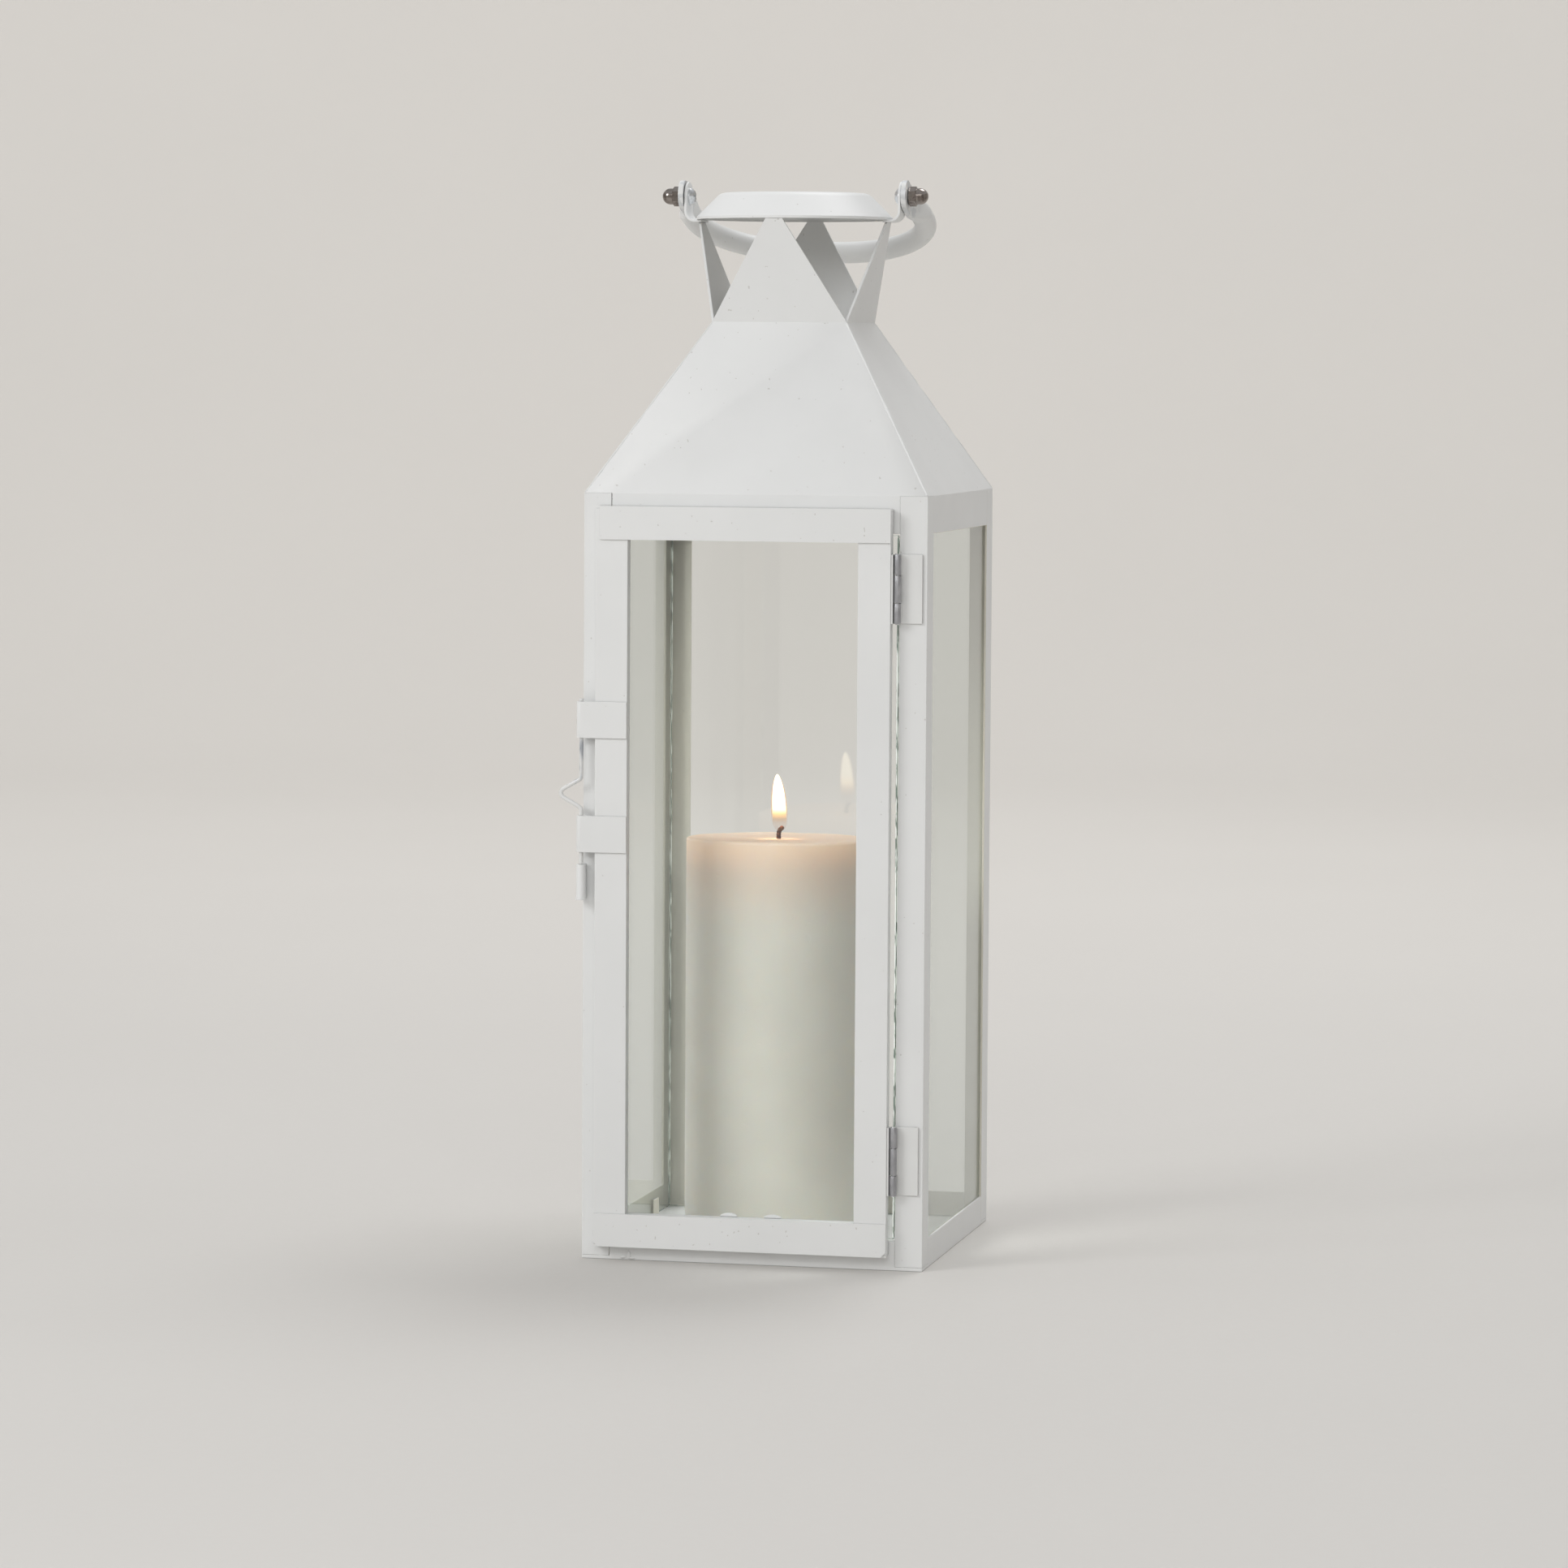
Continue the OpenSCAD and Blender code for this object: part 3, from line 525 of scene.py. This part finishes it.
def round_edges(piece, width, segments=2):
    """Whole faces from loose triangles, then edges over 30 degrees rounded to this width."""
    weld = piece.modifiers.new("join triangles", "WELD")
    weld.merge_threshold = 0.001 * MM
    flats = piece.modifiers.new("whole faces", "DECIMATE")
    flats.decimate_type = "DISSOLVE"
    flats.angle_limit = math.radians(0.5)
    bevel = piece.modifiers.new("rounded edges", "BEVEL")
    bevel.width = width
    bevel.segments = segments
    bevel.limit_method = "ANGLE"
    bevel.angle_limit = math.radians(30)


for name, finish in FINISH_OF.items():
    piece = nodes[name]
    piece.data.materials.clear()
    piece.data.materials.append(finish)
for name in PAINTED_SHEET:
    round_edges(nodes[name], (0.35 if name.startswith("roof") else 0.22) * MM)
for name in ("glass_left", "glass_right", "glass_back", "door_glass"):
    round_edges(nodes[name], 0.3 * MM, 1)
    play = nodes[name].modifiers.new("play in the frame", "DISPLACE")
    play.mid_level = 0.0
    play.strength = -0.09 * MM
print("finished CAD nodes:", len(FINISH_OF))

# %% [markdown]
# ## Helpers for new pieces
# A new piece is a grid of points worked out by numpy: rows along a profile or a path, and
# columns round it. `skin_grid` turns such a grid into faces, closes its ends with a fan to
# one middle point, and joins points that coincide.


# %% Grid helpers
def grid_faces(rows, columns):
    """Quads of a grid whose last column joins the first, and fans of triangles that close its ends."""
    near, across = np.meshgrid(np.arange(rows - 1), np.arange(columns), indexing="ij")
    following = (across + 1) % columns
    quads = np.stack(
        [near * columns + across, near * columns + following,
         (near + 1) * columns + following, (near + 1) * columns + across], -1
    ).reshape(-1, 4)
    ring = np.arange(columns)
    turned = (ring + 1) % columns
    end = (rows - 1) * columns
    start_fan = np.stack([np.full(columns, rows * columns), turned, ring], -1)
    end_fan = np.stack([np.full(columns, rows * columns + 1), end + ring, end + turned], -1)
    return quads, np.concatenate([start_fan, end_fan])


def skin_grid(name, grids, finish, body, crease=40.0):
    """A piece from one or more grids of rows x columns points, each closed round its columns."""
    points, faces, count = [], [], 0
    for grid in grids if isinstance(grids, list) else [grids]:
        quads, fans = grid_faces(*grid.shape[:2])
        points += [grid.reshape(-1, 3), grid[:1].mean(1), grid[-1:].mean(1)]
        faces += (quads + count).tolist() + (fans + count).tolist()
        count += grid.shape[0] * grid.shape[1] + 2
    mesh = bpy.data.meshes.new(name)
    mesh.from_pydata(np.concatenate(points).tolist(), [], faces)
    tidy = bmesh.new()
    tidy.from_mesh(mesh)
    bmesh.ops.remove_doubles(tidy, verts=tidy.verts, dist=0.002 * MM)
    bmesh.ops.recalc_face_normals(tidy, faces=tidy.faces)
    tidy.to_mesh(mesh)
    tidy.free()
    mesh.shade_smooth()
    mesh.set_sharp_from_angle(angle=math.radians(crease))
    mesh.materials.append(finish)
    piece = bpy.data.objects.new(name, mesh)
    bpy.context.scene.collection.objects.link(piece)
    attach(piece, body)
    print(name, len(mesh.polygons), "faces")
    return piece


def circle(count):
    """Cosine and sine of evenly spaced angles."""
    angle = np.linspace(0, 2 * np.pi, count, endpoint=False)
    return np.cos(angle), np.sin(angle)


def ripple(points, length, seed, waves=9):
    """A smooth random number at each point: sine waves about length long, in seeded directions."""
    draw = np.random.default_rng(seed)
    directions = draw.normal(size=(waves, 3))
    directions *= 2 * np.pi / length / np.linalg.norm(directions, axis=1, keepdims=True)
    phases = draw.uniform(0, 2 * np.pi, waves)
    return np.sin(points @ directions.T + phases).mean(-1) * 2.0


def sweep(path, radius, side, sides):
    """Circles of a changing radius along a path. Each has this many sides and starts towards side."""
    tangent = np.gradient(path, axis=0)
    tangent /= np.linalg.norm(tangent, axis=1, keepdims=True)
    first = side - (tangent @ side)[:, None] * tangent
    first /= np.linalg.norm(first, axis=1, keepdims=True)
    second = np.cross(tangent, first)
    cos, sin = circle(sides)
    ring = cos[None, :, None] * first[:, None] + sin[None, :, None] * second[:, None]
    radius = radius if np.ndim(radius) == 2 else radius[:, None]
    return path[:, None] + ring * radius[..., None]


def lathe(profile, columns):
    """A profile of radius and height turned about the Z axis: one row of points for each of its points."""
    cos, sin = circle(columns)
    height = np.broadcast_to(profile[:, 1:], (len(profile), columns))
    return np.stack([profile[:, :1] * cos, profile[:, :1] * sin, height], -1)


print("grid helpers ready")

# %% [markdown]
# ## Candle
# The pillar candle is cast wax. Its side isn't perfectly straight, its rim is rounded and
# a little uneven, the top has melted 2 mm lower at the back, and a shallow pool lies round
# the wick. It is a lathe shape: a profile of radius and height, turned about the candle's
# axis, then rippled.


# %% Candle
def candle_profile():
    """Radius and height from the foot's middle, out and up the side, over the rim and in to the wick."""
    base, top = candle_low[2], candle_high[2]
    foot_round, edge, pool = 1.0 * MM, 1.3 * MM, 0.55 * MM
    foot = [(r * candle_r, base) for r in np.linspace(0.15, 0.965, 6)]
    foot_middle = (candle_r - foot_round, base + foot_round)
    turn = np.linspace(-np.pi / 2, 0, 6)
    foot_edge = [
        (foot_middle[0] + foot_round * math.cos(a), foot_middle[1] + foot_round * math.sin(a)) for a in turn
    ]
    side = [(candle_r, z) for z in np.linspace(base + 3 * MM, top - edge - 1 * MM, 70)]
    turn = np.linspace(0, np.pi / 2, 10)
    rim = [(candle_r - edge + edge * math.cos(a), top - edge + edge * math.sin(a)) for a in turn]
    inward = np.linspace(1, 0.03, 40)
    shelf = [((candle_r - edge - 0.5 * MM) * t, top - pool * (1 - t**6) ** 1.5) for t in inward]
    return np.array(foot + foot_edge + side + rim + shelf)


grid = lathe(candle_profile(), 144)
unevenness = ripple(grid, 55 * MM, seed=4)
grid[..., :2] *= (1 - 0.0020 * (1 + unevenness))[..., None]
soft_depth = 12 * MM
melted = np.clip((grid[..., 2] - (candle_high[2] - soft_depth)) / soft_depth, 0, 1)
lower_at_the_back = 1.05 * MM * (1 + grid[..., 1] / candle_r)
grid[..., 2] -= melted * (lower_at_the_back + 0.12 * MM * (1 + ripple(grid, 28 * MM, seed=11)))
grid += [candle_axis[0], candle_axis[1], 0]
candle = skin_grid("wax_candle", grid, ivory_wax, "candle", crease=60.0)
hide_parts("candle")

# %% [markdown]
# ## Wick and flame
# The wick is a cotton braid, burnt black, that leans over as it burns. A sweep gives it
# its bend, and two sets of strands that wind in opposite ways give it its plait. The flame
# is a tall drop that leans the other way. A fainter and slightly larger drop round it
# softens its edge.

# %% Wick and flame
WICK_STEPS, WICK_SIDES = 60, 30
turn = np.linspace(0, 1, WICK_STEPS)[:, None]
foot = np.array([candle_axis[0], candle_axis[1], wick_low[2]])
lean = np.radians(62) * np.clip((turn - 0.42) / 0.5, 0, 1) ** 1.3
step = (wick_high[2] - wick_low[2]) * 1.22 / WICK_STEPS
path = foot + np.cumsum(np.concatenate([np.sin(lean), -0.1 * np.sin(lean), np.cos(lean)], 1) * step, 0)
path[:, 2] += wick_high[2] - 0.95 * MM - path[-1, 2]
angle = np.linspace(0, 2 * np.pi, WICK_SIDES, endpoint=False)[None]
length = turn * 5.4
plait = np.maximum(np.cos(2 * angle + 7 * length), np.cos(2 * angle - 7 * length))
thickness = (1.02 - 0.25 * np.clip((turn - 0.86) / 0.14, 0, 1) ** 2 + 0.14 * plait) * 0.86 * MM
braid = sweep(path, thickness, np.array([0.0, 1.0, 0.0]), WICK_SIDES)
wick = skin_grid("wick_braid", braid, charred_wick, "candle")
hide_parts("wick")


def flame_drop(swell):
    """A drop: a round foot, widest a fifth of the way up, and a slow curve in to a tip that bends left."""
    rows = 56
    height = (1 - np.cos(np.linspace(0, np.pi, rows))) / 2
    foot_round = np.sqrt(1 - np.clip(1 - height / 0.17, 0, 1) ** 2)
    radius = 2.85 * MM * (1 - height**3.2) ** 0.62 * foot_round + swell * np.sin(height * np.pi) ** 0.5
    middle = np.stack(
        [foot[0] + 0.5 * MM - 1.2 * MM * height**1.4, np.full(rows, foot[1] - 0.3 * MM),
         flame_base + (flame_tip - flame_base) * height], -1
    )
    cos, sin = circle(48)
    ring = np.stack([cos, sin, np.zeros(48)], -1)
    return middle[:, None] + ring[None] * np.maximum(radius, 0.02 * MM)[:, None, None]


skin_grid("flame_core", flame_drop(0.0), flame_core_finish, "candle")
skin_grid("flame_halo", flame_drop(0.6 * MM), flame_halo_finish, "candle")

# %% [markdown]
# ## Hip seams, welds and paint drips
# The four roof panels meet along the hips, where they are joined and painted over: the
# joint shows as a thin raised line. Beside its upper part a gap is left that the paint has
# not filled; its shade is painted, as a thin dark strip laid beside the line. At the corners
# small welds hold the posts to the eave and to the tray, and the paint has left a few drips.
# A seam or shaded gap is a sweep along a straight path that wavers a little; a weld or drip
# is a rippled ball.


# %% Seams, welds and drips
def seam_line(start, end, radius, waver, seed):
    """A thin round bead from start to end. Its thickness and its place waver in seeded waves."""
    path = start + np.linspace(0, 1, 60)[:, None] * (end - start)
    path = path + waver * ripple(path, 21 * MM, seed)[:, None] * np.array([1.0, 1.0, 0.0])
    thickness = radius * (1 + 0.22 * ripple(path, 9 * MM, seed + 1))
    return sweep(path, thickness, np.array([0.0, 0.0, 1.0]), 10)


def paint_lump(place, size, seed):
    """A ball stretched to this size, whose surface is pushed in and out by seeded waves."""
    rise = np.linspace(0.05, np.pi - 0.05, 12)[:, None]
    cos, sin = circle(16)
    ball = np.stack([np.sin(rise) * cos, np.sin(rise) * sin, np.broadcast_to(-np.cos(rise), (12, 16))], -1)
    ball *= (1 + 0.22 * ripple(ball, 1.6, seed))[..., None]
    return np.array(place) + ball * np.array(size)


neck_half, neck_z = 27.9 * MM, eave_z + 68.5 * MM
CORNERS = [(1, -1), (1, 1), (-1, 1), (-1, -1)]
hips, gaps = [], []
for number, (x, y) in enumerate(CORNERS):
    eave = np.array([x * (half_width - 0.55 * MM), y * (half_width - 0.55 * MM), eave_z + 0.3 * MM])
    neck = np.array([x * (neck_half - 0.1 * MM), y * (neck_half - 0.1 * MM), neck_z - 0.5 * MM])
    hips.append(seam_line(eave, neck, 0.50 * MM, 0.06 * MM, seed=20 + number))
    beside = np.array([0.0, -y * 0.88 * MM, 0.0])
    gap_end = eave + (neck - eave) * 0.3
    # Painted shade: a thin dark strip where the unfilled gap lies in shade.
    gaps.append(seam_line(gap_end + beside, neck + beside, 0.27 * MM, 0.04 * MM, seed=70 + number))
skin_grid("hip_seams", hips, white_paint, "lantern")
skin_grid("hip_gap_shade", gaps, seam_shade, "lantern")

inside = half_width - 0.95 * MM
welds = [
    paint_lump((x * inside, y * inside, eave_z - 0.2 * MM), (0.8 * MM, 0.8 * MM, 0.9 * MM), seed=30 + n)
    for n, (x, y) in enumerate(CORNERS)
]
foot_z = 1.6 * MM
for n, (x, y) in enumerate(CORNERS):
    front_foot = (x * (half_width - 8 * MM), y * inside, foot_z)
    side_foot = (x * inside, y * (half_width - 9 * MM), foot_z)
    welds.append(paint_lump(front_foot, (2.2 * MM, 0.85 * MM, 0.5 * MM), seed=40 + n))
    welds.append(paint_lump(side_foot, (0.85 * MM, 1.8 * MM, 0.5 * MM), seed=50 + n))
skin_grid("corner_welds", welds, white_paint, "lantern")

front = -half_width
drips = [
    paint_lump((-52.6 * MM, front + 0.15 * MM, 1.3 * MM), (1.5 * MM, 0.55 * MM, 0.7 * MM), seed=61),
    paint_lump((-50.4 * MM, front + 0.1 * MM, 2.4 * MM), (0.9 * MM, 0.5 * MM, 1.7 * MM), seed=62),
    paint_lump((-49.0 * MM, front + 0.1 * MM, 0.9 * MM), (1.3 * MM, 0.45 * MM, 0.45 * MM), seed=63),
    paint_lump((half_width - 0.64 * MM, 61.0 * MM, 98.0 * MM), (0.5 * MM, 0.9 * MM, 1.1 * MM), seed=64),
    paint_lump((half_width - 0.55 * MM, 61.0 * MM, 96.6 * MM), (0.42 * MM, 0.5 * MM, 1.3 * MM), seed=65),
]
skin_grid("paint_drips", drips, white_paint, "lantern")

# %% [markdown]
# ## Ground glass edges
# A cut pane has its sharp corners ground off by hand. That narrow ground line scatters
# light, so it shows as a bright and broken white line along a pane that is otherwise
# clear. Its white spots also glow a little, which is a painted glint. Each line is a thin
# sweep along one upright corner of a pane.


# %% Ground edges
def make_ground_edge():
    finish = Finish("ground_edge")
    height = finish.noise(700.0, 3.0, (1, 1, 0.22))
    bright = finish.ramp(height, 0.42, 0.55)
    return finish.surface(
        Base_Color=finish.mix(bright, (0.30, 0.40, 0.34), (0.93, 0.97, 0.93)),
        Roughness=0.45 - 0.25 * bright,
        # Painted glint: the frosted spots glow a little, so they stay bright in shade.
        Emission_Color=finish.mix(bright, (0.0, 0.0, 0.0), (0.30, 0.33, 0.30)),
        Emission_Strength=1.0,
        IOR=1.5,
    )


def ground_lines(pane, inset):
    """Thin sweeps along the four upright corners of a pane. Each place gives its own ripple seed."""
    low, high = span(pane)
    heights = np.linspace(low[2] + 1 * MM, high[2] - 1 * MM, 40)
    lines = []
    for x in (low[0] + inset, high[0] - inset):
        for y in (low[1] + inset, high[1] - inset):
            path = np.stack([np.full(40, x), np.full(40, y), heights], -1)
            seed = int(1e4 * abs(x + 2 * y)) % 97
            thickness = 0.24 * MM * (1 + 0.3 * ripple(path, 12 * MM, seed))
            lines.append(sweep(path, thickness, np.array([1.0, 0.0, 0.0]), 6))
    return lines


ground_edge = make_ground_edge()
EDGE_INSET = 0.17 * MM
fixed_panes = ("glass_left", "glass_right", "glass_back")
fixed_lines = [line for pane in fixed_panes for line in ground_lines(pane, EDGE_INSET)]
skin_grid("ground_edges_body", fixed_lines, ground_edge, "lantern")
skin_grid("ground_edges_door", ground_lines("door_glass", EDGE_INSET), ground_edge, "door")

# %% [markdown]
# ## Floor, light and camera
# The lantern stands in a plain studio: a pale floor that curves up into a wall all round,
# so that no horizon shows from any side. A soft key lamp stands at the front left and a
# wider, weaker one at the front right. A third lights the roof from above and behind, and
# a fourth lights the studio's wall. The world gives the rest, and a small warm lamp
# stands for the flame's own light.


# %% Studio floor
def make_studio_floor():
    finish = Finish("studio_floor")
    clouds = finish.noise(2.5, 3.0)
    grit = finish.noise(240.0, 2.0)
    colour = finish.mix(clouds, (0.655, 0.635, 0.605), (0.685, 0.665, 0.635))
    return finish.surface(
        Base_Color=colour,
        Roughness=0.55 + 0.15 * grit,
        Normal=finish.bump(grit, 0.02 * MM),
    )


def studio_profile():
    """Radius and height: a flat floor, a quarter-round cove and an upright wall."""
    turn = np.linspace(-np.pi / 2, 0, 24)
    floor = [(r, 0.0) for r in (0.02, 0.3, 0.8, 1.6, 2.4)]
    cove = [(2.5 + 1.3 * math.cos(a), 1.3 + 1.3 * math.sin(a)) for a in turn]
    wall = [(3.8, 1.7), (3.8, 2.3)]
    return np.array(floor + cove + wall)


grid = lathe(studio_profile(), 96)
rows, columns = grid.shape[:2]
near, across = np.meshgrid(np.arange(rows - 1), np.arange(columns), indexing="ij")
following = (across + 1) % columns
quads = np.stack(
    [near * columns + following, near * columns + across,
     (near + 1) * columns + across, (near + 1) * columns + following], -1
).reshape(-1, 4)
mesh = bpy.data.meshes.new("studio_floor")
mesh.from_pydata(grid.reshape(-1, 3).tolist(), [], quads.tolist() + [list(range(columns))])
mesh.shade_smooth()
mesh.materials.append(make_studio_floor())
studio = bpy.data.objects.new("studio_floor", mesh)
bpy.context.scene.collection.objects.link(studio)
print("studio floor radius in m:", round(grid[..., 0].max(), 2))


# %% Lights
def soft_lamp(name, place, aim, size, power, colour):
    """An oblong lamp of this size in metres that points from place to aim."""
    data = bpy.data.lights.new(name, "AREA")
    data.shape = "RECTANGLE"
    data.size, data.size_y = size
    data.energy = power
    data.color = colour
    lamp = bpy.data.objects.new(name, data)
    lamp.location = place
    lamp.rotation_euler = (Vector(aim) - Vector(place)).to_track_quat("-Z", "Y").to_euler()
    bpy.context.scene.collection.objects.link(lamp)


LAMP_WHITE = (0.99, 0.995, 1.0)
soft_lamp("key_lamp", (-1.5, -1.6, 1.3), (0, 0, 0.25), (0.9, 0.9), 18.3, LAMP_WHITE)
soft_lamp("front_lamp", (0.3, -2.6, 1.25), (0, 0, 0.2), (1.8, 1.2), 12.0, LAMP_WHITE)
soft_lamp("roof_lamp", (0.38, 0.9, 2.25), (0, 0, 0.35), (1.0, 1.0), 17.0, LAMP_WHITE)
soft_lamp("wall_lamp", (-0.4, 1.6, 2.3), (-0.8, 3.9, 0.6), (2.6, 0.8), 27.0, (1.0, 0.985, 0.965))
data = bpy.data.lights.new("flame_lamp", "POINT")
data.energy = 0.026
data.color = (1.0, 0.62, 0.33)
data.shadow_soft_size = 3.0 * MM
flame_lamp = bpy.data.objects.new("flame_lamp", data)
flame_lamp.location = (foot[0], foot[1] - 0.3 * MM, flame_base + 12 * MM)
for ray in ("camera", "glossy", "transmission"):
    setattr(flame_lamp, "visible_" + ray, False)
bpy.context.scene.collection.objects.link(flame_lamp)

world = bpy.data.worlds.new("studio_world")
world.use_nodes = True
sky = world.node_tree.nodes["Background"]
sky.inputs["Color"].default_value = (0.98, 0.985, 1.0, 1)
sky.inputs["Strength"].default_value = 0.54
bpy.context.scene.world = world
bpy.context.scene.view_settings.view_transform = "Standard"

# %% Camera
CAMERA_PLACE = (0.50528, -2.28547, 0.36720)
CAMERA_TURN, CAMERA_DOWN, CAMERA_ROLL = 0.218872, 0.076238, 0.006056
lens = bpy.data.cameras.new("camera")
lens.lens = 131.25
lens.sensor_width = 36.0
lens.clip_start = 0.05
camera = bpy.data.objects.new("camera", lens)
camera.matrix_world = (
    Matrix.Translation(CAMERA_PLACE)
    @ Matrix.Rotation(CAMERA_TURN, 4, "Z")
    @ Matrix.Rotation(math.pi / 2 - CAMERA_DOWN, 4, "X")
    @ Matrix.Rotation(CAMERA_ROLL, 4, "Z")
)
bpy.context.scene.collection.objects.link(camera)
bpy.context.scene.camera = camera
print("camera at", CAMERA_PLACE)

# %% [markdown]
# ## The finish
# The scene is brought up to date. The finished model may not outgrow the CAD model.

# %% Finish
bpy.context.view_layer.update()
